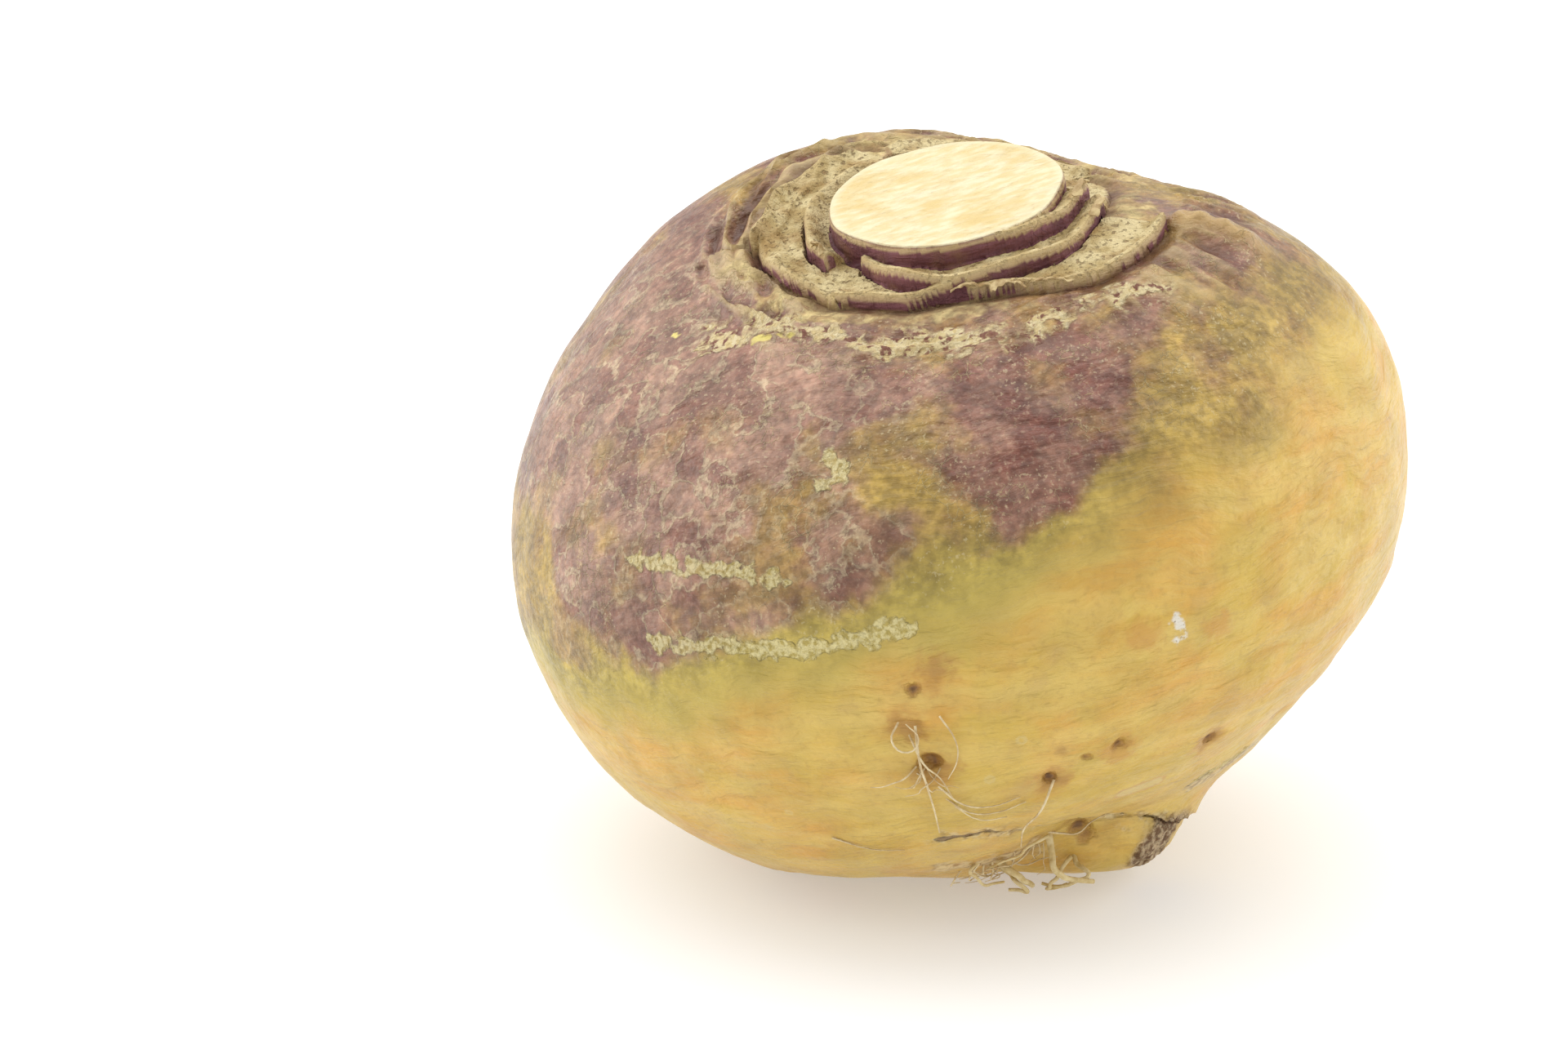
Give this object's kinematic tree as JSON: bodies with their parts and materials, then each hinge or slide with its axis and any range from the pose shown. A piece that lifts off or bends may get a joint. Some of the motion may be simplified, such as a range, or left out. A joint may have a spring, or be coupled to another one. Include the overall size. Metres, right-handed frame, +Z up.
{
  "type": "rutabaga",
  "caption": "Whole rutabaga root with a cut crown ringed by leaf-scar ridges, a cut tap-root stub and short rootlets, resting on a small flat spot.",
  "frame": {"origin": "centre of the bounding box in X and Y, at the flat spot that it rests on", "axes": "+Z up, +X along the longest side, towards the side that the tap-root stub leans to; the front faces -Y"},
  "size_m": [0.1316, 0.1246, 0.1042],
  "materials": {
    "skin": "waxy skin, purple crown fading to yellow root, pale cut crown"
  },
  "bodies": {
    "root": {"rutabaga": "skin"}
  },
  "joints": []
}
